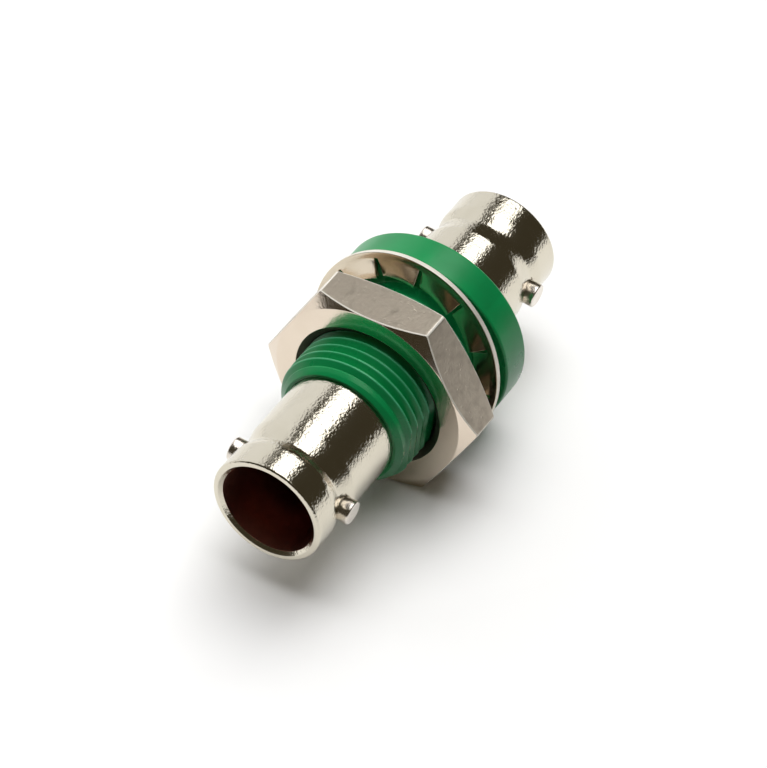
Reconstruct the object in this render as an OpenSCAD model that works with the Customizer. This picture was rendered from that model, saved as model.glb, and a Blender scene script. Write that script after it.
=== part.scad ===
// Insulated BNC jack-to-jack bulkhead adapter.
// Two nickel-plated bayonet jacks meet inside a threaded plastic bush with
// a flange. A hex nut and an internal-tooth lock washer hold it in a panel.
// The connector's axis is X, the threaded side is +X, and the origin is on
// that axis in the flange's panel face. It lies on a nut flat and the flange.

/* [Jack shells] */
// Length over both jack mouths
overall_len = 36.4; // [35.4:0.1:38.4]
// Outer diameter of each shell
shell_d = 9.66; // [9.60:0.01:9.70]
// Bore that takes the plug's spring fingers
bore_d = 8.14; // [8.10:0.01:8.15]
// Length of the plain ring at each mouth
ring_len = 2.5; // [2.2:0.1:2.6]
// Depth of the relief behind the ring
groove_depth = 0.36; // [0.2:0.02:0.4]
// Distance from the mouth to the end of the relief's ramp
ramp_end = 5.3; // [5.0:0.1:5.6]
// Depth of the reference plane below the mouth
ref_plane = 8.4; // [8.31:0.01:8.51]
// How far the front mouth stands out of the bush
front_reach = 10.7; // [10.2:0.1:11.2]
// How far the rear mouth stands out of the flange
rear_reach = 11.0; // [10.6:0.1:11.4]

/* [Bayonet lugs] */
// Distance of the lugs from the mouth
lug_pos = 3.9; // [3.8:0.05:4.1]
// Diameter of a lug
lug_d = 2.0; // [1.91:0.01:2.06]
// Distance across a pair of lugs
lug_span = 11.02; // [10.97:0.01:11.07]
// Angle of the lugs and of the bush's flat from straight up
body_roll = 96.5; // [90:0.5:103]

/* [Insulating bush] */
// Diameter over the thread crests
thread_d = 12.0; // [11.9:0.05:12.1]
// Distance from one crest to the next
pitch = 0.9; // [0.8:0.05:1.0]
// Depth of the thread
thread_depth = 0.5; // [0.35:0.05:0.55]
// Distance from the axis to the flat
flat_dist = 5.75; // [5.5:0.05:5.85]
// Diameter of the flange
flange_d = 16.8; // [16.4:0.1:16.8]
// Thickness of the flange
flange_t = 3.0; // [2.6:0.1:3.4]

/* [Hex nut] */
// Width across the flats
nut_af = 16.8; // [16.8:0.1:17.2]
// Thickness of the nut
nut_t = 3.75; // [3.4:0.05:3.75]
// Gap from the flange to the nut
nut_gap = 3.8; // [3.75:0.05:4.6]
// Radial clearance of the nut over the crests
nut_clear = 0.08; // [0.05:0.01:0.1]

/* [Lock washer] */
// Outer diameter of the washer
washer_d = 17.46; // [17.2:0.02:17.5]
// Diameter inside the teeth
washer_id = 13.1; // [13.0:0.05:13.4]
// Thickness of its sheet
washer_t = 0.45; // [0.35:0.05:0.5]
// Number of twisted teeth
teeth = 12; // [9:1:13]
// Twist of each tooth
tooth_twist = 9; // [6:1:11]
// How far the loose washer leans back at the top
washer_lean = 8.2; // [6:0.1:8.4]

/* [Insides] */
// Diameter of the dielectric's nose
nose_d = 4.75; // [4.6:0.05:4.8]
// Depth of the dielectric's nose below the mouth
nose_depth = 5.1; // [4.5:0.05:5.2]
// Diameter of the centre contact
contact_d = 2.2; // [2.1:0.05:2.3]
// Bore of the contact's sockets
socket_d = 1.4; // [1.38:0.01:1.42]
// Depth of each socket
socket_len = 5.6; // [5:0.1:6]

/* [Hidden] */
$fn = 96;
eps = 0.01;
shell_r = shell_d/2;
bore_r = bore_d/2;
waist_r = shell_r - groove_depth;
rim_round = 0.28;
rim_chamfer = 0.2;
groove_start = ring_len + 0.9;
ramp_start = ring_len + 1.15;
barrel_len = overall_len - front_reach - rear_reach - flange_t;
front_x = barrel_len + front_reach;
rear_x = front_x - overall_len;
mid_x = front_x - overall_len/2;
thread_r = thread_d/2;
root_r = thread_r - thread_depth;
crest = pitch/8;
lead_len = 0.85;
first_crest = barrel_len - 1.06;
crests = 11;
nut_bore_r = thread_r + nut_clear;
nut_corner_r = nut_af/(2*cos(30));
rib_t = 1.2;
rib_r = 4.2;
core_r = 3.3;
lip_t = 0.6;
spigot_end = 3.8;
collar_r = 1.7;
collar_t = 1.6;
washer_x = 1.6;
washer_lift = 0.28;
lean_dir = 19.4;
slot_w = 0.2;
slot_len = 4.4;

// Local Z becomes the connector's axis, X; local X points straight up.
module axial() {
    rotate([180, 0, 0]) rotate([0, 90, 0]) children();
}

// Turns a feature on the axis to an angle from straight up, towards +Y.
module at_angle(b) {
    rotate([0, 0, -b]) children();
}

// Mirrors a front piece about the middle plane to make its rear twin.
module rear_twin() {
    translate([2*mid_x, 0, 0]) mirror([1, 0, 0]) children();
}

// A solid of revolution about the connector's axis, from [radius, x] points.
module turned(points) {
    axial() rotate_extrude() polygon(points);
}

// Outside of a jack from its mouth to the end of the ramp, as [radius, depth].
function jack_outline() = [
    [bore_r + rim_chamfer, 0],
    for (a = [0 : 30 : 90])
        [shell_r - rim_round*(1 - sin(a)), rim_round*(1 - cos(a))],
    for (i = [0 : 6])
        let (t = i/6, s = (1 - cos(180*t))/2)
        [shell_r - s*groove_depth, ring_len + t*(groove_start - ring_len)],
    for (i = [0 : 6])
        let (t = i/6, s = 0.35*(1 - cos(180*t))/2 + 0.65*t)
        [waist_r + s*groove_depth, ramp_start + t*(ramp_end - ramp_start)]
];

// The same outline placed along X.
function jack_points() = [for (p = jack_outline()) [p[0], front_x - p[1]]];

module lug_hole() {
    translate([front_x - lug_pos, 0, 0]) rotate([-body_roll, 0, 0])
        cylinder(d = lug_d, h = 20, center = true);
}

// Front jack: its spigot passes the bush's rib and joins the rear jack.
module front_shell_body() {
    difference() {
        turned(concat(jack_points(), [
            [shell_r, mid_x + rib_t/2],
            [rib_r, mid_x + rib_t/2],
            [rib_r, mid_x - spigot_end + 0.15],
            [rib_r - 0.15, mid_x - spigot_end],
            [core_r, mid_x - spigot_end],
            [core_r, front_x - ref_plane - lip_t],
            [nose_d/2 + 0.02, front_x - ref_plane - lip_t],
            [nose_d/2 + 0.02, front_x - ref_plane],
            [bore_r, front_x - ref_plane],
            [bore_r, front_x - rim_chamfer]]));
        lug_hole();
    }
}

// Rear jack: its socket takes the front jack's spigot.
module rear_shell_body() {
    difference() {
        turned(concat(jack_points(), [
            [shell_r, mid_x + rib_t/2],
            [rib_r, mid_x + rib_t/2],
            [rib_r, mid_x + spigot_end],
            [core_r, mid_x + spigot_end],
            [core_r, front_x - ref_plane - lip_t],
            [nose_d/2 + 0.02, front_x - ref_plane - lip_t],
            [nose_d/2 + 0.02, front_x - ref_plane],
            [bore_r, front_x - ref_plane],
            [bore_r, front_x - rim_chamfer]]));
        lug_hole();
    }
}

module front_shell() {
    color("silver") front_shell_body();
}

module rear_shell() {
    color("silver") rear_twin() rear_shell_body();
}

// Round bayonet pin pressed into the shell's wall, with a broken outer edge.
module lug(side) {
    translate([front_x - lug_pos, 0, 0]) rotate([-body_roll, 0, 0])
        rotate([side > 0 ? 0 : 180, 0, 0])
        rotate_extrude() polygon([
            [0, bore_r + 0.01],
            [lug_d/2, bore_r + 0.01],
            [lug_d/2, lug_span/2 - 0.12],
            [lug_d/2 - 0.12, lug_span/2],
            [0, lug_span/2]]);
}

module front_lug_left() { color("silver") lug(1); }
module front_lug_right() { color("silver") lug(-1); }
module rear_lug_left() { color("silver") rear_twin() lug(1); }
module rear_lug_right() { color("silver") rear_twin() lug(-1); }

// One groove of the bush's thread, between two crests.
function groove(x) = [
    [thread_r, x - crest/2],
    [root_r, x - pitch/2 + crest/2],
    [root_r, x - pitch/2 - crest/2],
    [thread_r, x - pitch + crest/2]
];

// Moulded bush: flange, threaded barrel with one flat, and an inner rib.
module insulating_bush() {
    last_crest = first_crest - (crests - 1)*pitch;
    color("seagreen") difference() {
        turned(concat(
            [[shell_r, barrel_len], [5.1, barrel_len]],
            [[thread_r - 0.12, barrel_len - lead_len]],
            [[thread_r, first_crest + crest/2]],
            [for (i = [0 : crests - 2]) each groove(first_crest - i*pitch)],
            [[thread_r, last_crest - crest/2],
             [root_r + 0.15, last_crest - crest/2 - 0.3],
             [root_r + 0.15, 0],
             [flange_d/2 - 0.2, 0],
             [flange_d/2 - 0.06, -0.06],
             [flange_d/2, -0.2],
             [flange_d/2, -flange_t + 0.3],
             [flange_d/2 - 0.09, -flange_t + 0.09],
             [flange_d/2 - 0.3, -flange_t],
             [shell_r, -flange_t],
             [shell_r, mid_x - rib_t/2],
             [rib_r, mid_x - rib_t/2],
             [rib_r, mid_x + rib_t/2],
             [shell_r, mid_x + rib_t/2]]));
        rotate([-body_roll, 0, 0])
            translate([0, -10, flat_dist])
            cube([barrel_len + 1, 20, 5]);
    }
}

// Dielectric: a slim nose in the jack and a thicker body behind the lip.
module front_dielectric_body() {
    turned([
        [contact_d/2 + 0.16, front_x - nose_depth],
        [nose_d/2 - 0.15, front_x - nose_depth],
        [nose_d/2, front_x - nose_depth - 0.15],
        [nose_d/2, front_x - ref_plane - lip_t],
        [core_r, front_x - ref_plane - lip_t],
        [core_r, mid_x],
        [collar_r, mid_x],
        [collar_r, mid_x + collar_t/2],
        [contact_d/2, mid_x + collar_t/2],
        [contact_d/2, front_x - nose_depth - 5.2],
        [contact_d/2 + 0.16, front_x - nose_depth - 5.4]]);
}

module front_dielectric() {
    color("saddlebrown") front_dielectric_body();
}

module rear_dielectric() {
    color("saddlebrown") rear_twin() front_dielectric_body();
}

// Half of the double-ended socket contact, with four slots at its mouth.
module contact_half() {
    tip_x = front_x - nose_depth - 0.2;
    difference() {
        turned([
            [0, mid_x],
            [collar_r, mid_x],
            [collar_r, mid_x + collar_t/2],
            [contact_d/2, mid_x + collar_t/2],
            [contact_d/2, tip_x - 0.12],
            [contact_d/2 - 0.1, tip_x],
            [socket_d/2 + 0.1, tip_x],
            [socket_d/2, tip_x - 0.12],
            [socket_d/2, tip_x - socket_len],
            [0, tip_x - socket_len - 0.4]]);
        for (b = [45, 135])
            rotate([b, 0, 0])
                translate([tip_x - slot_len, -slot_w/2, -contact_d])
                cube([slot_len + 1, slot_w, 2*contact_d]);
    }
}

module centre_contact() {
    color("gold") union() {
        contact_half();
        rear_twin() contact_half();
    }
}

// Hexagon with both faces chamfered and a countersunk bore; a flat is down.
module hex_nut() {
    front = nut_gap + nut_t;
    back = nut_gap;
    far = nut_corner_r + 1;
    color("lightgray") difference() {
        intersection() {
            translate([back, 0, 0]) rotate([0, 90, 0])
                rotate([0, 0, 30]) cylinder(r = nut_corner_r, h = nut_t, $fn = 6);
            turned([
                [0, back],
                [nut_af/2 - 0.02, back],
                [far, back + (far - nut_af/2)*tan(18)],
                [far, front - (far - nut_af/2)*tan(30)],
                [nut_af/2 - 0.02, front],
                [0, front]]);
        }
        turned([
            [0, back - 1],
            [6.65, back - 1],
            [6.65, back],
            [nut_bore_r, back + 0.45],
            [nut_bore_r, front - 0.55],
            [6.65, front],
            [6.65, front + 1],
            [0, front + 1]]);
    }
}

// One tooth, bent so that one edge stands up towards the nut.
module washer_tooth() {
    half = 180/teeth - 1.66;
    translate([0, 0, 0.18]) rotate([-tooth_twist, 0, 0])
        intersection() {
            difference() {
                cylinder(r = washer_d/2 - 0.6, h = washer_t, center = true);
                cylinder(d = washer_id, h = 4, center = true);
            }
            linear_extrude(height = 4, center = true)
                polygon([[0, 0], [12, -12*tan(half)], [12, 12*tan(half)]]);
        }
}

// Ring with inner teeth; it leans on the thread with its top at the flange.
module lock_washer() {
    color("lightgray") translate([washer_x, 0, washer_lift]) axial()
        rotate([0, 0, lean_dir]) rotate([0, washer_lean, 0])
        rotate([0, 0, -lean_dir])
        union() {
            difference() {
                cylinder(d = washer_d, h = washer_t, center = true);
                cylinder(r = washer_d/2 - 0.85, h = 2, center = true);
            }
            for (i = [0 : teeth - 1])
                at_angle(-40.5 + i*360/teeth) washer_tooth();
        }
}

insulating_bush();
front_shell();
rear_shell();
front_lug_left();
front_lug_right();
rear_lug_left();
rear_lug_right();
front_dielectric();
rear_dielectric();
centre_contact();
hex_nut();
lock_washer();
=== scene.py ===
import math

import bmesh
import bpy
import numpy as np
from mathutils import Matrix, Vector

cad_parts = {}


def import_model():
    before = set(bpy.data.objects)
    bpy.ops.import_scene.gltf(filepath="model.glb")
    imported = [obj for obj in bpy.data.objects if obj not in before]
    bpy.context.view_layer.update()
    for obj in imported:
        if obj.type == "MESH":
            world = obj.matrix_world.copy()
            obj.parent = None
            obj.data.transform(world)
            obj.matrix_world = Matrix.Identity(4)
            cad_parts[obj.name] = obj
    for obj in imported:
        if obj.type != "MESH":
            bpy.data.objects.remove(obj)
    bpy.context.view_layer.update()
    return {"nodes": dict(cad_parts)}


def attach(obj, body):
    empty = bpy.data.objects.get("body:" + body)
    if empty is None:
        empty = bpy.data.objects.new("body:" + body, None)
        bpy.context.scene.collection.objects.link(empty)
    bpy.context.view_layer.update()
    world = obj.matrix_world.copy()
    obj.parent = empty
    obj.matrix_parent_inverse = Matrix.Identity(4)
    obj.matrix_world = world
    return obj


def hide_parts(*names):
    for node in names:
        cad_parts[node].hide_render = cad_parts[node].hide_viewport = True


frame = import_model()

MM = 0.001

# Sizes in millimetres and angles in degrees, as in the part's source.
BARREL_LEN = 11.7
FRONT_X = 22.4
REAR_X = -14.0
MID_X = (FRONT_X + REAR_X) / 2
SHELL_R = 4.83
BORE_R = 4.07
RING_LEN = 2.5
GROOVE_DEPTH = 0.36
WAIST_R = SHELL_R - GROOVE_DEPTH
GROOVE_AT = 3.4
RAMP_AT = 3.65
RAMP_END = 5.3
REF_PLANE = 8.4
RIB_R = 4.2
RIB_T = 1.2
CORE_R = 3.3
LIP_T = 0.6
SPIGOT_END = 3.8
LUG_POS = 3.9
LUG_R = 1.0
LUG_SPAN = 11.02
BODY_ROLL = 96.5
THREAD_R = 6.0
PITCH = 0.9
THREAD_DEPTH = 0.5
FLAT_DIST = 5.62
FLANGE_R = 8.4
FLANGE_T = 3.0
NUT_AF = 16.8
NUT_T = 3.75
NUT_BACK = 3.8
NUT_FRONT = NUT_BACK + NUT_T
SINK_R = 6.65
WASHER_R = 8.73
WASHER_IN = 6.55
WASHER_T = 0.45
WASHER_X = 1.6
WASHER_LIFT = 0.28
WASHER_LEAN = 8.2
LEAN_DIR = 19.4
TEETH = 12
TOOTH_TWIST = 9
NOSE_R = 2.375
NOSE_DEPTH = 5.1
CONTACT_R = 1.1
FLOOR_Z = -8.4

# Forms that only the drawn pieces have.
MOUTH_CHAMFER = 0.28
SEAT_GAP = 0.015  # between the bush and the shells
NOSE_GAP = 0.02  # between the dielectrics and the shells' lips
LEAD_CONE = [(BARREL_LEN, 5.1), (10.85, 5.88), (10.6, THREAD_R + 0.02)]
THREAD_START = 10.62  # where the bush's helical crest crosses straight up
THREAD_END = 0.9
COLLAR = (1.38, 1.62)  # a plain collar ends the thread near the flange
NECK_R = 5.65  # of the neck between the collar and the flange
NUT_CORNER = 0.3
NUT_FACE_R = NUT_AF / 2 - 0.02
NUT_SLOPES = (30, 18)  # of the chamfers at the front and the back
NUT_EDGE_W = 0.075  # width of the strip along a flat's edge, with wear and a painted highlight
SINK_DEPTH = 0.4
SINK_BOTTOM_R = 6.12
FIRST_TOOTH = -40.5
TOOTH_SPACE = 2.0  # degrees between two teeth
TOOTH_ROOT_R = 8.13
TOOTH_BODY_R = 6.9  # inside this radius a tooth is twisted all the way
TOOTH_LIFT = 0.18


# ---------------------------------------------------------------- mesh helpers

def direction(beta):
    """Unit vectors across the axis at beta degrees from +Z towards +Y."""
    b = np.radians(beta)
    return np.stack([np.zeros_like(b), np.sin(b), np.cos(b)], axis=-1)


def fillet(points, steps=4, closed=True):
    """Rounds the corners of a line of (x, r, radius) points in the half plane."""
    out = []
    count = len(points)
    for i, (x, r, radius) in enumerate(points):
        p = np.array([x, r], float)
        if radius <= 0 or (not closed and i in (0, count - 1)):
            out.append(p)
            continue
        a = np.array(points[i - 1][:2], float) - p
        b = np.array(points[(i + 1) % count][:2], float) - p
        la, lb = np.linalg.norm(a), np.linalg.norm(b)
        a, b = a / la, b / lb
        angle = math.acos(max(-1.0, min(1.0, float(a @ b))))
        if angle > math.pi - 0.03:
            out.append(p)
            continue
        cut = min(radius / math.tan(angle / 2), 0.48 * la, 0.48 * lb)
        rad = cut * math.tan(angle / 2)
        middle = (a + b) / np.linalg.norm(a + b)
        centre = p + middle * rad / math.sin(angle / 2)
        s, e = p + a * cut - centre, p + b * cut - centre
        turn = math.acos(max(-1.0, min(1.0, float(s @ e) / (rad * rad))))
        for k in range(steps + 1):
            t = k / steps
            v = (math.sin((1 - t) * turn) * s + math.sin(t * turn) * e) / math.sin(turn)
            out.append(centre + v)
    return np.array(out)


def merged(parts):
    """Joins (vertices, faces) parts into one pair."""
    verts, faces, base = [], [], 0
    for v, f in parts:
        v = np.asarray(v, float).reshape(-1, 3)
        verts.append(v)
        faces += [tuple(i + base for i in face) for face in f]
        base += len(v)
    return np.concatenate(verts), faces


def band(rows, closed_rows=False):
    """Faces between rows of points; rows has shape (rows, columns, 3) and columns close."""
    n, m = rows.shape[:2]
    faces = []
    for i in range(n if closed_rows else n - 1):
        k = (i + 1) % n
        for j in range(m):
            q = (j + 1) % m
            faces.append((i * m + j, i * m + q, k * m + q, k * m + j))
    return rows.reshape(-1, 3), faces


def revolved(profile, columns, closed=True):
    """A turned body from (x, r) points; columns are angles in degrees."""
    d = direction(columns)
    rows = profile[:, None, 1, None] * d[None]
    rows[..., 0] = profile[:, None, 0]
    return band(rows, closed)


def thread_strip(columns, x_hi, x_lo, phase, profile, radius):
    """A helical right-hand thread between two rings, right up to x_hi and x_lo.
    profile holds (s, r) over one pitch; radius(x, r, beta) trims the radius."""
    turns = int(math.ceil((x_hi - x_lo) / PITCH)) + 3
    per = len(profile)
    s = np.concatenate([profile[:, 0] + PITCH * k for k in range(turns)])
    r = np.tile(profile[:, 1], turns)
    lead = math.ceil((x_hi - phase) / PITCH) + 1
    x = phase + lead * PITCH - s[:, None] - PITCH * (columns[None] / 360.0)
    x = np.clip(x, x_lo, x_hi)
    rr = radius(x, np.repeat(r[:, None], len(columns), 1), columns[None])
    rows = rr[..., None] * direction(columns)[None]
    rows[..., 0] = x
    n, m = x.shape
    faces = []
    for i in range(n - 1):
        for j in range(m - 1):
            faces.append((i * m + j, i * m + j + 1, (i + 1) * m + j + 1, (i + 1) * m + j))
    for i in range(n - 1):
        a, b = min(i + per, n - 1), min(i + 1 + per, n - 1)
        faces.append((i * m + m - 1, a * m, b * m, (i + 1) * m + m - 1))
    for i in range(per):
        faces.append((m - 1, i * m, (i + 1) * m))
    return rows.reshape(-1, 3), faces


def area_normals(mesh):
    """Vertex normals weighted by face area, so that small fillets leave flats flat."""
    count = len(mesh.vertices)
    co = np.empty(count * 3)
    mesh.vertices.foreach_get("co", co)
    co = co.reshape(-1, 3) * 1000
    tri_n = len(mesh.loop_triangles)
    tri = np.empty(tri_n * 3, np.int32)
    mesh.loop_triangles.foreach_get("vertices", tri)
    tri = tri.reshape(-1, 3)
    cross = np.cross(co[tri[:, 1]] - co[tri[:, 0]], co[tri[:, 2]] - co[tri[:, 0]])
    total = np.zeros((count, 3))
    for k in range(3):
        np.add.at(total, tri[:, k], cross)
    length = np.linalg.norm(total, axis=1)
    length[length == 0] = 1
    return total / length[:, None]


def piece(name, parts, body, materials, replaces, pick=None, bevel=0, weld=1e-4):
    """Makes a mesh object from parts in millimetres and hangs it on its body.
    pick gives each face's material from its centre in metres and its normal."""
    verts, faces = merged(parts)
    mesh = bpy.data.meshes.new(name)
    mesh.from_pydata([tuple(v) for v in verts * MM], [], faces)
    bm = bmesh.new()
    bm.from_mesh(mesh)
    bmesh.ops.remove_doubles(bm, verts=bm.verts, dist=weld * MM)
    bmesh.ops.dissolve_degenerate(bm, edges=bm.edges, dist=weld * MM * 0.5)
    bmesh.ops.recalc_face_normals(bm, faces=bm.faces)
    if bm.calc_volume(signed=True) < 0:
        bmesh.ops.reverse_faces(bm, faces=bm.faces)
    if bevel:
        sharp = [e for e in bm.edges
                 if e.is_manifold and e.calc_face_angle(0) > math.radians(50)]
        bmesh.ops.bevel(bm, geom=sharp, offset=bevel * MM, offset_type="OFFSET", segments=2,
                        profile=0.5, affect="EDGES", clamp_overlap=True)
    bm.to_mesh(mesh)
    bm.free()
    for m in materials:
        mesh.materials.append(m)
    mesh.polygons.foreach_set("use_smooth", [True] * len(mesh.polygons))
    if pick:
        picked = [pick(p.center, p.normal) for p in mesh.polygons]
        mesh.polygons.foreach_set("material_index", picked)
    mesh.calc_loop_triangles()
    mesh.normals_split_custom_set_from_vertices([tuple(n) for n in area_normals(mesh)])
    obj = bpy.data.objects.new(name, mesh)
    bpy.context.scene.collection.objects.link(obj)
    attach(obj, body)
    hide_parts(*replaces)


# ------------------------------------------------------------------- materials

def new_material(name):
    m = bpy.data.materials.new(name)
    m.use_nodes = True
    nodes, links = m.node_tree.nodes, m.node_tree.links
    bsdf = nodes["Principled BSDF"]
    return m, nodes, links, bsdf


def noise(nodes, links, coords, scale, detail, stretch=None):
    """A noise texture's Fac output at a scale in features a metre."""
    n = nodes.new("ShaderNodeTexNoise")
    n.inputs["Scale"].default_value = scale
    n.inputs["Detail"].default_value = detail
    if stretch:
        mp = nodes.new("ShaderNodeMapping")
        mp.inputs["Scale"].default_value = stretch
        links.new(coords, mp.inputs["Vector"])
        coords = mp.outputs["Vector"]
    links.new(coords, n.inputs["Vector"])
    return n.outputs["Fac"]


def remap(nodes, links, value, lo, hi, to_lo, to_hi, kind="LINEAR"):
    """Takes lo to hi across to to_lo to to_hi, and clamps."""
    n = nodes.new("ShaderNodeMapRange")
    n.interpolation_type = kind
    for key, v in (("From Min", lo), ("From Max", hi), ("To Min", to_lo), ("To Max", to_hi)):
        n.inputs[key].default_value = v
    links.new(value, n.inputs["Value"])
    return n.outputs["Result"]


def maths(nodes, links, operation, *values):
    """A Math node's output; each value is a number or a socket."""
    n = nodes.new("ShaderNodeMath")
    n.operation = operation
    for i, v in enumerate(values):
        if isinstance(v, (int, float)):
            n.inputs[i].default_value = v
        else:
            links.new(v, n.inputs[i])
    return n.outputs[0]


def distance(nodes, links, coords, point):
    n = nodes.new("ShaderNodeVectorMath")
    n.operation = "DISTANCE"
    n.inputs[1].default_value = point
    links.new(coords, n.inputs[0])
    return n.outputs["Value"]


def blend_colour(nodes, links, fac, a, b):
    """Mixes two colours, each three numbers or a socket."""
    n = nodes.new("ShaderNodeMix")
    n.data_type = "RGBA"
    links.new(fac, n.inputs["Factor"])
    for socket, c in ((n.inputs[6], a), (n.inputs[7], b)):
        if isinstance(c, bpy.types.NodeSocket):
            links.new(c, socket)
        else:
            socket.default_value = (*c, 1)
    return n.outputs[2]


def bump(nodes, links, height, depth, below=None):
    """A bump of a depth in metres, over the normal below it."""
    n = nodes.new("ShaderNodeBump")
    n.inputs["Strength"].default_value = 1.0
    n.inputs["Distance"].default_value = depth
    links.new(height, n.inputs["Height"])
    if below is not None:
        links.new(below, n.inputs["Normal"])
    return n.outputs["Normal"]


def nickel(name, colour, dull, rough, grain, pits=0.0, stain=0.5, turned=0.0, metal=1.0,
           blotch=450):
    """Nickel plate: cloudy tint, patchy gloss, fine pebble grain, tool lines and pits.
    grain, pits and turned are depths in metres, blotch is the clouds' scale."""
    m, nodes, links, bsdf = new_material(name)
    coords = nodes.new("ShaderNodeTexCoord").outputs["Object"]
    cloud = noise(nodes, links, coords, blotch, 3)
    fine = noise(nodes, links, coords, 4200, 2)
    mask = remap(nodes, links, cloud, 0.42, 0.72, 0.0, stain)
    links.new(blend_colour(nodes, links, mask, colour, dull), bsdf.inputs["Base Color"])
    bsdf.inputs["Metallic"].default_value = metal
    links.new(remap(nodes, links, cloud, 0.3, 0.7, rough * 0.85, rough * 1.25),
              bsdf.inputs["Roughness"])
    normal = bump(nodes, links, fine, grain)
    if turned:
        lines = noise(nodes, links, coords, 1.0, 2, stretch=(9000, 250, 250))
        normal = bump(nodes, links, lines, turned, below=normal)
    if pits:
        cells = nodes.new("ShaderNodeTexVoronoi")
        cells.inputs["Scale"].default_value = 2600
        links.new(coords, cells.inputs["Vector"])
        gate = noise(nodes, links, coords, 900, 1)
        wall = remap(nodes, links, cells.outputs["Distance"], 0.05, 0.22, 0.0, 1.0)
        clean = remap(nodes, links, gate, 0.42, 0.62, 1.0, 0.0)
        pitted = maths(nodes, links, "MAXIMUM", wall, clean)
        normal = bump(nodes, links, pitted, pits, below=normal)
    links.new(normal, bsdf.inputs["Normal"])
    return m


def plastic(name, colour, deep, rough, grain, specular=0.5, crest=None):
    """Moulded plastic: slight colour drift, patchy gloss and a faint orange peel.
    From the radius crest out, the barrel's thread is painted paler: partly scuffing, partly a
    painted highlight on the crests."""
    m, nodes, links, bsdf = new_material(name)
    coords = nodes.new("ShaderNodeTexCoord").outputs["Object"]
    cloud = noise(nodes, links, coords, 260, 3)
    fine = noise(nodes, links, coords, 3200, 3)
    mask = remap(nodes, links, cloud, 0.35, 0.7, 0.0, 1.0)
    tint = blend_colour(nodes, links, mask, colour, deep)
    if crest:
        flatten = nodes.new("ShaderNodeVectorMath")
        flatten.operation = "MULTIPLY"
        flatten.inputs[1].default_value = (0, 1, 1)
        links.new(coords, flatten.inputs[0])
        radius = nodes.new("ShaderNodeVectorMath")
        radius.operation = "LENGTH"
        links.new(flatten.outputs[0], radius.inputs[0])
        out = radius.outputs["Value"]
        split = nodes.new("ShaderNodeSeparateXYZ")
        links.new(coords, split.inputs[0])
        scuff_and_highlight = remap(nodes, links, out, crest * MM, (crest + 0.1) * MM, 0.0, 1.0)
        for value, lo, hi, to_lo, to_hi in (
                (out, (crest + 0.2) * MM, (crest + 0.3) * MM, 1.0, 0.0),
                (cloud, 0.35, 0.6, 0.35, 0.9),
                (split.outputs["X"], 0.5 * MM, 0.8 * MM, 0.0, 1.0)):
            scuff_and_highlight = maths(nodes, links, "MULTIPLY", scuff_and_highlight,
                         remap(nodes, links, value, lo, hi, to_lo, to_hi))
        # Scuff and painted highlight: the crests are tinted a paler green.
        tint = blend_colour(nodes, links, scuff_and_highlight, tint, (0.1, 0.5, 0.27))
    links.new(tint, bsdf.inputs["Base Color"])
    links.new(remap(nodes, links, cloud, 0.3, 0.7, rough * 0.85, rough * 1.2),
              bsdf.inputs["Roughness"])
    bsdf.inputs["Specular IOR Level"].default_value = specular
    links.new(bump(nodes, links, fine, grain), bsdf.inputs["Normal"])
    return m


SHELL = nickel("shell_nickel", (0.68, 0.635, 0.53), (0.62, 0.575, 0.475), 0.13, 3e-5,
               turned=1.2e-6)
LUG = nickel("lug_nickel", (0.78, 0.73, 0.66), (0.6, 0.5, 0.44), 0.24, 1.2e-5, pits=8e-6)
# Painted reflection and shade: the bore's nickel is tinted red-brown and dark, standing in for
# the insulator's reflection and the shade inside the mouth.
BORE_REFLECTION_SHADE = nickel("bore_painted_reflection_shade", (0.5, 0.22, 0.16), (0.36, 0.15, 0.11), 0.38, 1.2e-5)
NUT = nickel("nut_nickel", (0.58, 0.515, 0.425), (0.45, 0.39, 0.32), 0.33, 1e-5, pits=1.6e-5,
             stain=0.9, blotch=1300)
NUT_FACE = nickel("nut_face", (0.74, 0.64, 0.53), (0.68, 0.58, 0.47), 0.14, 6e-6,
                  turned=1.5e-6)
# Painted shade: the countersinks and the nut's inner thread are coloured nearly black for the
# shade in the bore.
NUT_BORE_SHADE = nickel("nut_bore_painted_shade", (0.16, 0.14, 0.11), (0.1, 0.09, 0.07), 0.5, 8e-6)
# Wear and painted highlight: pale, less metallic strips along the nut's edges and corners.
NUT_EDGE_WEAR_HIGHLIGHT = nickel("nut_edge_wear_painted_highlight", (0.88, 0.84, 0.76), (0.78, 0.74, 0.66), 0.5, 3e-6, metal=0.25)
WASHER = nickel("washer_nickel", (0.68, 0.6, 0.48), (0.58, 0.5, 0.38), 0.2, 6e-6)
# Painted highlight: the washer's outer edge is pale and half metallic, so it shows as a bright
# line.
WASHER_EDGE_HIGHLIGHT = nickel("washer_edge_painted_highlight", (0.84, 0.8, 0.72), (0.7, 0.65, 0.57), 0.45, 4e-6,
                     metal=0.45)
GREEN = plastic("green_plastic", (0.004, 0.27, 0.076), (0.003, 0.22, 0.06), 0.3, 8e-7,
                specular=0.38, crest=THREAD_R - 0.1)
BROWN = plastic("dielectric", (0.16, 0.03, 0.018), (0.1, 0.02, 0.012), 0.4, 1e-6)
GOLD = nickel("contact_gold", (0.7, 0.42, 0.15), (0.55, 0.32, 0.12), 0.3, 3e-6)


# ---------------------------------------------------------------------- pieces

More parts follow.
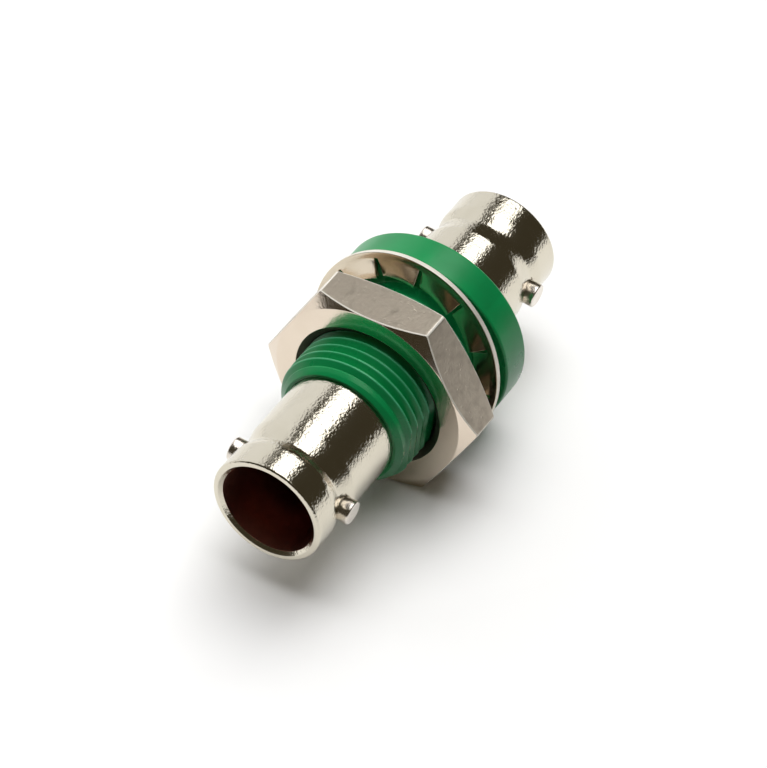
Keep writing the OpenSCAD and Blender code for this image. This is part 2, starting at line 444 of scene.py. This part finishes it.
def jack_outline(x_of):
    """Outside of a jack from its mouth to the end of the ramp, as (x, r, fillet)."""
    pts = [(MOUTH_CHAMFER, BORE_R, 0.03), (0, BORE_R + MOUTH_CHAMFER, 0.03), (0, SHELL_R, 0.41),
           (RING_LEN, SHELL_R, 1.7), (GROOVE_AT, WAIST_R, 0.6)]
    for i in range(11):
        t = i / 10
        s = (1 - math.cos(math.pi * t)) / 2 * 0.35 + t * 0.65
        pts.append((RAMP_AT + t * (RAMP_END - RAMP_AT), WAIST_R + s * GROOVE_DEPTH, 0))
    return [(x_of(a), r, f) for a, r, f in pts]


def mirrored(x):
    """The same place on the rear half."""
    return 2 * MID_X - x


def shell(name, mirror, lugs):
    """A jack with its two lugs. The front one's spigot reaches into the rear one."""
    def x_of(a):
        return FRONT_X - a

    end = SPIGOT_END if mirror else -SPIGOT_END
    pts = jack_outline(x_of) + [
        (MID_X + RIB_T / 2, SHELL_R, 0), (MID_X + RIB_T / 2, RIB_R, 0),
        (MID_X + end, RIB_R, 0), (MID_X + end, CORE_R, 0),
        (FRONT_X - REF_PLANE - LIP_T, CORE_R, 0),
        (FRONT_X - REF_PLANE - LIP_T, NOSE_R + NOSE_GAP, 0),
        (FRONT_X - REF_PLANE, NOSE_R + NOSE_GAP, 0.05),
        (FRONT_X - REF_PLANE, BORE_R, 0.15)]
    profile = fillet(pts, 8)
    if mirror:
        profile[:, 0] = mirrored(profile[:, 0])
    node = "rear_shell" if mirror else "front_shell"

    def inside(centre, normal):
        """The bore behind its chamfer, coloured with a painted red-brown reflection and painted
        shade.
        """
        depth = (FRONT_X - MID_X) * MM - abs(centre[0] - MID_X * MM)
        bore = math.hypot(centre[1], centre[2]) < (BORE_R + 0.01) * MM
        return 1 if bore and depth > (MOUTH_CHAMFER - 0.01) * MM else 0

    piece(name, [revolved(profile, np.arange(0, 360, 1.5))], "connector",
          [SHELL, BORE_REFLECTION_SHADE], [node], pick=inside)
    for lug, side in zip(lugs, (1, -1)):
        x = mirrored(FRONT_X - LUG_POS) if mirror else FRONT_X - LUG_POS
        line = fillet([(BORE_R + 0.01, 0, 0), (BORE_R + 0.01, LUG_R, 0),
                       (LUG_SPAN / 2, LUG_R, 0.13), (LUG_SPAN / 2, 0, 0)], closed=False)
        out = direction(np.array([BODY_ROLL]))[0] * side
        across = np.array([1.0, 0, 0])
        other = np.cross(out, across)
        turn = np.radians(np.arange(0, 360, 7.5))
        rows = (line[:, None, 0, None] * out + line[:, None, 1, None]
                * (np.cos(turn)[None, :, None] * across + np.sin(turn)[None, :, None] * other))
        rows[..., 0] += x
        piece(lug + "_pin", [band(rows)], "connector", [LUG], [lug])


def thread_profile(crest_r, root_r, crest_w, root_w, round_crest, round_root):
    """(s, r) over one pitch, starting in the middle of a root."""
    half = PITCH / 2
    pts = [(0, root_r, 0), (root_w / 2, root_r, round_root),
           (half - crest_w / 2, crest_r, round_crest), (half + crest_w / 2, crest_r, round_crest),
           (PITCH - root_w / 2, root_r, round_root), (PITCH, root_r, 0)]
    return fillet(pts, 2, closed=False)[:-1]


def bush():
    """The moulding: a helical thread, and one turned line from its front round to its back."""
    rim = np.arange(20.5, 34, 0.3)  # close columns where the flat meets the thread
    columns = np.concatenate([np.arange(0, 360, 2.0), BODY_ROLL - rim, BODY_ROLL + rim])
    columns = np.unique(np.round(columns, 3))

    def cone_r(x):
        return np.interp(-x, [-c[0] for c in LEAD_CONE], [c[1] for c in LEAD_CONE])

    def flat(r, beta):
        c = np.cos(np.radians(beta - BODY_ROLL))
        return np.where(c > 0.2, np.minimum(r, FLAT_DIST / np.maximum(c, 0.2)), r)

    def cut(x, r, beta):
        """Thread trimmed to the lead cone, the collar, the neck and the flat."""
        r = np.minimum(r, cone_r(x))
        r = np.where((x > COLLAR[0]) & (x < COLLAR[1]), np.maximum(r, THREAD_R - 0.04), r)
        tail = np.clip((COLLAR[0] - x) / 0.12, 0, 1)
        return flat(r * (1 - tail) + NECK_R * tail, beta)

    profile = thread_profile(THREAD_R, THREAD_R - THREAD_DEPTH, PITCH / 8, PITCH / 8, 0.05, 0.07)
    top = BARREL_LEN - 0.12
    strip = thread_strip(columns, top, THREAD_END, THREAD_START + PITCH / 2, profile, cut)
    seat_r = SHELL_R + SEAT_GAP
    inner = fillet([(top, float(cone_r(top)), 0), (BARREL_LEN, LEAD_CONE[0][1], 0.1),
                    (BARREL_LEN, seat_r, 0.04),
                    (MID_X + RIB_T / 2, seat_r, 0), (MID_X + RIB_T / 2, RIB_R, 0),
                    (MID_X - RIB_T / 2, RIB_R, 0), (MID_X - RIB_T / 2, seat_r, 0),
                    (-FLANGE_T, seat_r, 0.06), (-FLANGE_T, FLANGE_R, 0.3),
                    (0, FLANGE_R, 0.2), (0, NECK_R, 0.12), (THREAD_END, NECK_R, 0)],
                   5, closed=False)
    r = np.repeat(inner[:, 1, None], len(columns), 1)
    x = np.repeat(inner[:, 0, None], len(columns), 1)
    outer = (x >= -0.001) & (np.arange(len(inner))[:, None] > 3)
    r = np.where(outer & (r < THREAD_R), flat(r, columns[None]), r)
    rows = r[..., None] * direction(columns)[None]
    rows[..., 0] = x
    threads = strip[0].reshape(-1, len(columns), 3)
    rows[0], rows[-1] = threads[0], threads[-1]
    piece("threaded_bush", [strip, band(rows)], "connector", [GREEN],
          ["insulating_bush"])


def hexagon(columns):
    """Radius of the nut's outside, a flat up and its corners rounded."""
    a = (columns + 30) % 60 - 30
    cos30, tan30 = math.cos(math.radians(30)), math.tan(math.radians(30))
    dist = np.radians(30 - np.abs(a)) * NUT_AF / 2 / cos30
    t = np.clip(1 - dist / (NUT_CORNER * tan30), 0, 1)
    return NUT_AF / 2 / np.cos(np.radians(a)) - NUT_CORNER * (1 / cos30 - 1) * t * t


def nut():
    """The nut: faces, chamfers and flats in one grid, and the helical thread inside."""
    near = np.arange(-3, 3.01, 0.3)  # close columns round each corner
    columns = np.unique(np.round(np.concatenate(
        [np.arange(0, 360, 2.5)] + [(30 + 60 * k + near) % 360 for k in range(6)]), 3))
    falls = [math.tan(math.radians(slope)) for slope in NUT_SLOPES]

    def end(x, way, fall, rh):
        """Countersink, face, chamfer and edge strip (wear and a painted highlight) at one end of
        the nut, as (x, r).
        The rows about the chamfer's circle keep its crease."""
        near = rh - 0.06
        ring = min(NUT_FACE_R, near - 0.09)
        edge = x - max(rh - NUT_FACE_R, 0) * fall * way
        return [(x - SINK_DEPTH * way, SINK_BOTTOM_R), (x - 0.03 * way, SINK_R - 0.03),
                (x, SINK_R + 0.03)] + [
            (x - max(r - NUT_FACE_R, 0) * fall * way, r)
            for r in (ring - 0.05, ring, ring + 0.03, near - 0.03, near)] + [
            (edge - 0.03 * way, rh - 0.02), (edge - NUT_EDGE_W * way, rh)]

    lines = np.array([end(NUT_FRONT, 1, falls[0], rh) + end(NUT_BACK, -1, falls[1], rh)[::-1]
                      for rh in hexagon(columns)])
    rows = np.swapaxes(lines, 0, 1)
    grid = rows[..., 1, None] * direction(columns)[None]
    grid[..., 0] = rows[..., 0]
    minor = THREAD_R - THREAD_DEPTH + 0.17
    profile = thread_profile(-minor, -(THREAD_R + 0.1), 0.14, 0.1, 0.03, 0.05)
    profile[:, 1] *= -1
    top, low = NUT_FRONT - SINK_DEPTH, NUT_BACK + SINK_DEPTH

    def ends(x, r, beta):
        return np.maximum(r, SINK_BOTTOM_R - np.clip(np.minimum(top - x, x - low), 0, 1) * 1.5)

    strip = thread_strip(columns, top, low, THREAD_START, profile, ends)

    def region(centre, normal):
        """0 for the drawn flats, 1 edges with wear and a painted highlight, 2 turned faces, 3
        countersinks and thread in painted shade.
        """
        x, r = centre[0] / MM, math.hypot(centre[1], centre[2]) / MM
        beta = math.degrees(math.atan2(centre[1], centre[2])) % 360
        rh = float(hexagon(np.array([beta]))[0])
        if r < rh - 0.045:
            return 3 if r < SINK_R - 0.01 else 2
        over = max(rh - NUT_FACE_R, 0)
        front = NUT_FRONT - over * falls[0] - NUT_EDGE_W - 0.01
        back = NUT_BACK + over * falls[1] + NUT_EDGE_W + 0.01
        corner = 30 - abs((beta + 30) % 60 - 30)
        return 1 if x > front or x < back or corner < 0.65 else 0

    piece("nut_body", [band(grid), strip], "nut",
          [NUT, NUT_EDGE_WEAR_HIGHLIGHT, NUT_FACE, NUT_BORE_SHADE], ["hex_nut"], pick=region)


def washer():
    """The washer: a ring with twisted teeth, made flat and then leant on the barrel."""
    pitch_deg = 360 / TEETH
    half = (pitch_deg - TOOTH_SPACE) / 2
    radii = np.concatenate([np.linspace(WASHER_IN, 7.1, 4), np.linspace(7.25, 8.0, 7),
                            [TOOTH_ROOT_R, 8.3, 8.5, WASHER_R]])
    offsets = np.concatenate([np.linspace(-half, half, 13),
                              [half + 0.5, pitch_deg - half - 0.5]])
    columns = np.concatenate([FIRST_TOOTH + k * pitch_deg + offsets for k in range(TEETH)])
    place = np.arange(len(columns)) % len(offsets)  # the first 13 columns lie on the tooth
    blend = np.clip((TOOTH_ROOT_R - radii) / (TOOTH_ROOT_R - TOOTH_BODY_R), 0, 1)
    lift = TOOTH_LIFT + (radii[:, None] * np.sin(np.radians(offsets[place]))
                         * math.tan(math.radians(TOOTH_TWIST)))
    height = np.where(place < 13, blend[:, None] * lift, 0)
    cell = (place < 12) | (radii[:-1, None] >= TOOTH_ROOT_R - 1e-6)
    b = np.radians(columns)
    xy = np.stack([radii[:, None] * np.cos(b), radii[:, None] * np.sin(b)], -1)
    n, m = height.shape
    base = n * m
    verts = np.concatenate([
        np.concatenate([xy, (height + side * WASHER_T / 2)[..., None]], -1).reshape(-1, 3)
        for side in (1, -1)])

    def solid(i, j):
        return 0 <= i < n - 1 and cell[i, j % m]

    faces = []
    for i in range(n - 1):
        for j in range(m):
            if not solid(i, j):
                continue
            q = (j + 1) % m
            loop = (i * m + j, i * m + q, (i + 1) * m + q, (i + 1) * m + j)
            faces.append(loop)
            faces.append(tuple(base + k for k in reversed(loop)))
            beside = (solid(i - 1, j), solid(i, j + 1), solid(i + 1, j), solid(i, j - 1))
            for k, filled in enumerate(beside):
                if not filled:
                    u, v = loop[k], loop[(k + 1) % 4]
                    faces.append((v, u, base + u, base + v))
    used = sorted({k for f in faces for k in f})
    place_of = {k: i for i, k in enumerate(used)}
    faces = [tuple(place_of[k] for k in f) for f in faces]
    # Local X is up and local Z the axis; beta runs from +Z towards +Y.
    lean = (Matrix.Rotation(math.radians(LEAN_DIR), 3, "Z")
            @ Matrix.Rotation(math.radians(WASHER_LEAN), 3, "Y")
            @ Matrix.Rotation(math.radians(-LEAN_DIR), 3, "Z"))
    axial = Matrix.Rotation(math.pi, 3, "X") @ Matrix.Rotation(math.pi / 2, 3, "Y")
    turn = np.array(axial @ lean)
    flip = verts[used] * np.array([1, -1, 1])
    placed = flip @ turn.T + np.array([WASHER_X, 0, WASHER_LIFT])
    faces = [tuple(reversed(f)) for f in faces]
    axis = Vector(turn @ np.array([0, 0, 1]))
    middle = Vector((WASHER_X, 0, WASHER_LIFT)) * MM

    def rim(centre, normal):
        """The outer edge of the sheet, which gets a painted highlight."""
        out = (centre - middle) - axis * (centre - middle).dot(axis)
        return 1 if out.length > (WASHER_R - 0.1) * MM and abs(normal.dot(axis)) < 0.85 else 0

    piece("toothed_washer", [(placed, faces)], "washer",
          [WASHER, WASHER_EDGE_HIGHLIGHT], ["lock_washer"], pick=rim, bevel=0.06)


def insides():
    """The two dielectrics, and the contact of the frame in gold."""
    nose, back = FRONT_X - NOSE_DEPTH, FRONT_X - REF_PLANE - LIP_T
    wide = CONTACT_R + 0.16  # the bore round the contact's springy end
    collar_r, collar_half = 1.7, 0.8
    for mirror in (False, True):
        profile = fillet([(nose, wide, 0.03), (nose, NOSE_R, 0.15), (back, NOSE_R, 0),
                          (back, CORE_R, 0), (MID_X, CORE_R, 0), (MID_X, collar_r, 0),
                          (MID_X + collar_half, collar_r, 0), (MID_X + collar_half, CONTACT_R, 0),
                          (nose - 5.2, CONTACT_R, 0), (nose - 5.4, wide, 0)])
        if mirror:
            profile[:, 0] = mirrored(profile[:, 0])
        side = "rear" if mirror else "front"
        piece(side + "_insulator", [revolved(profile, np.arange(0, 360, 3.0))], "connector",
              [BROWN], [side + "_dielectric"])
    contact = frame["nodes"]["centre_contact"]
    contact.data.materials.clear()
    contact.data.materials.append(GOLD)


shell("front_jack", False, ("front_lug_left", "front_lug_right"))
shell("rear_jack", True, ("rear_lug_left", "rear_lug_right"))
bush()
nut()
washer()
insides()


# ------------------------------------------------------- floor, light and camera

def floor():
    """A white sheet on a dark table. It keeps the object's shadow."""
    size = 2.5
    mesh = bpy.data.meshes.new("floor")
    ring = [(size * math.cos(a), size * math.sin(a), FLOOR_Z * MM)
            for a in np.linspace(0, 2 * math.pi, 64, endpoint=False)]
    mesh.from_pydata(ring, [], [tuple(range(64))])
    obj = bpy.data.objects.new("floor", mesh)
    bpy.context.scene.collection.objects.link(obj)
    m = bpy.data.materials.new("floor_white")
    m.use_nodes = True
    nodes, links = m.node_tree.nodes, m.node_tree.links
    nodes.clear()
    coords = nodes.new("ShaderNodeTexCoord").outputs["Object"]

    def calc(operation, *values):
        return maths(nodes, links, operation, *values)

    middle = (-0.2, -0.25, FLOOR_Z * MM)
    sheet = remap(nodes, links, distance(nodes, links, coords, middle), 0.34, 0.47, 1.0, 0.0)
    # The glow makes up for the lamps' fall-off; for the camera it goes on past the sheet.
    off = distance(nodes, links, coords, (-0.4, -0.03, FLOOR_Z * MM))
    lit = calc("EXPONENT", calc("MULTIPLY", calc("MULTIPLY", off, off), -1 / 1.166))
    grow = calc("MAXIMUM", calc("MULTIPLY_ADD", lit, -1.147, 1.0), 0.0)
    ray = nodes.new("ShaderNodeLightPath").outputs
    seen = calc("MAXIMUM", calc("MAXIMUM", ray["Is Camera Ray"], ray["Is Glossy Ray"]),
                ray["Is Transmission Ray"])
    beyond = calc("MULTIPLY", calc("SUBTRACT", 1.0, sheet), ray["Is Camera Ray"])
    glow = nodes.new("ShaderNodeEmission")
    glow.inputs["Color"].default_value = (1, 1, 1, 1)
    links.new(calc("MAXIMUM", calc("MULTIPLY", calc("MULTIPLY", seen, grow), sheet), beyond),
              glow.inputs["Strength"])
    # The sheet sends less light back up than the camera and the mirrors see in it.
    paper = blend_colour(nodes, links, seen, (0.3, 0.3, 0.3), (0.9, 0.9, 0.9))
    table = nodes.new("ShaderNodeVectorMath")
    table.operation = "SCALE"
    links.new(paper, table.inputs[0])
    links.new(calc("MULTIPLY_ADD", sheet, 0.95, 0.05), table.inputs["Scale"])
    diffuse = nodes.new("ShaderNodeBsdfDiffuse")
    links.new(table.outputs[0], diffuse.inputs["Color"])
    add = nodes.new("ShaderNodeAddShader")
    links.new(diffuse.outputs[0], add.inputs[0])
    links.new(glow.outputs[0], add.inputs[1])
    out = nodes.new("ShaderNodeOutputMaterial")
    links.new(add.outputs[0], out.inputs["Surface"])
    mesh.materials.append(m)


def world():
    """A dark room with one pale wall."""
    w = bpy.data.worlds.new("room")
    bpy.context.scene.world = w
    w.use_nodes = True
    nodes, links = w.node_tree.nodes, w.node_tree.links
    split = nodes.new("ShaderNodeSeparateXYZ")
    links.new(nodes.new("ShaderNodeTexCoord").outputs["Generated"], split.inputs[0])
    sides = [remap(nodes, links, split.outputs[axis], lo, hi, 0.0, 1.0, "SMOOTHSTEP")
             for axis, lo, hi in (("Y", -0.41, -0.51), ("X", 0.35, 0.2))]
    wall = maths(nodes, links, "MULTIPLY", *sides)
    back = nodes["Background"]
    links.new(blend_colour(nodes, links, wall, (0.05, 0.042, 0.026), (1, 1, 1)),
              back.inputs["Color"])
    back.inputs["Strength"].default_value = 1.0


def overhead(name, centre, size, turn, radiance, glossy=True):
    """A soft box that hangs level above the object, turned about the vertical.
    radiance is what its surface shows, so its power follows from its size."""
    light = bpy.data.lights.new(name, "AREA")
    light.shape = "RECTANGLE"
    light.size, light.size_y = size
    light.energy = radiance * math.pi * size[0] * size[1]
    obj = bpy.data.objects.new(name, light)
    obj.location = centre
    obj.rotation_euler = (0, 0, math.radians(turn))
    obj.visible_glossy = glossy
    bpy.context.scene.collection.objects.link(obj)


def camera():
    cam = bpy.data.cameras.new("camera")
    cam.lens = 189.28
    cam.sensor_width = 36
    cam.sensor_fit = "HORIZONTAL"
    cam.clip_start, cam.clip_end = 0.01, 20
    obj = bpy.data.objects.new("camera", cam)
    right = Vector((-0.51726, 0.85566, 0.01704))
    up = Vector((-0.59495, -0.37383, 0.71154))
    back = Vector((0.61521, 0.35791, 0.70244))
    turn = Matrix((right, up, back)).transposed()
    obj.matrix_world = Matrix.Translation((0.20148, 0.11432, 0.22351)) @ turn.to_4x4()
    bpy.context.scene.collection.objects.link(obj)
    bpy.context.scene.camera = obj


floor()
world()
overhead("soft_box", (-0.4, 0.05, 1.0), (1.4, 0.63), 12, 2.3)
overhead("fill", (-0.4, -0.12, 1.0), (1.3, 1.0), 12, 2.9, glossy=False)
camera()
bpy.context.scene.view_settings.view_transform = "Standard"
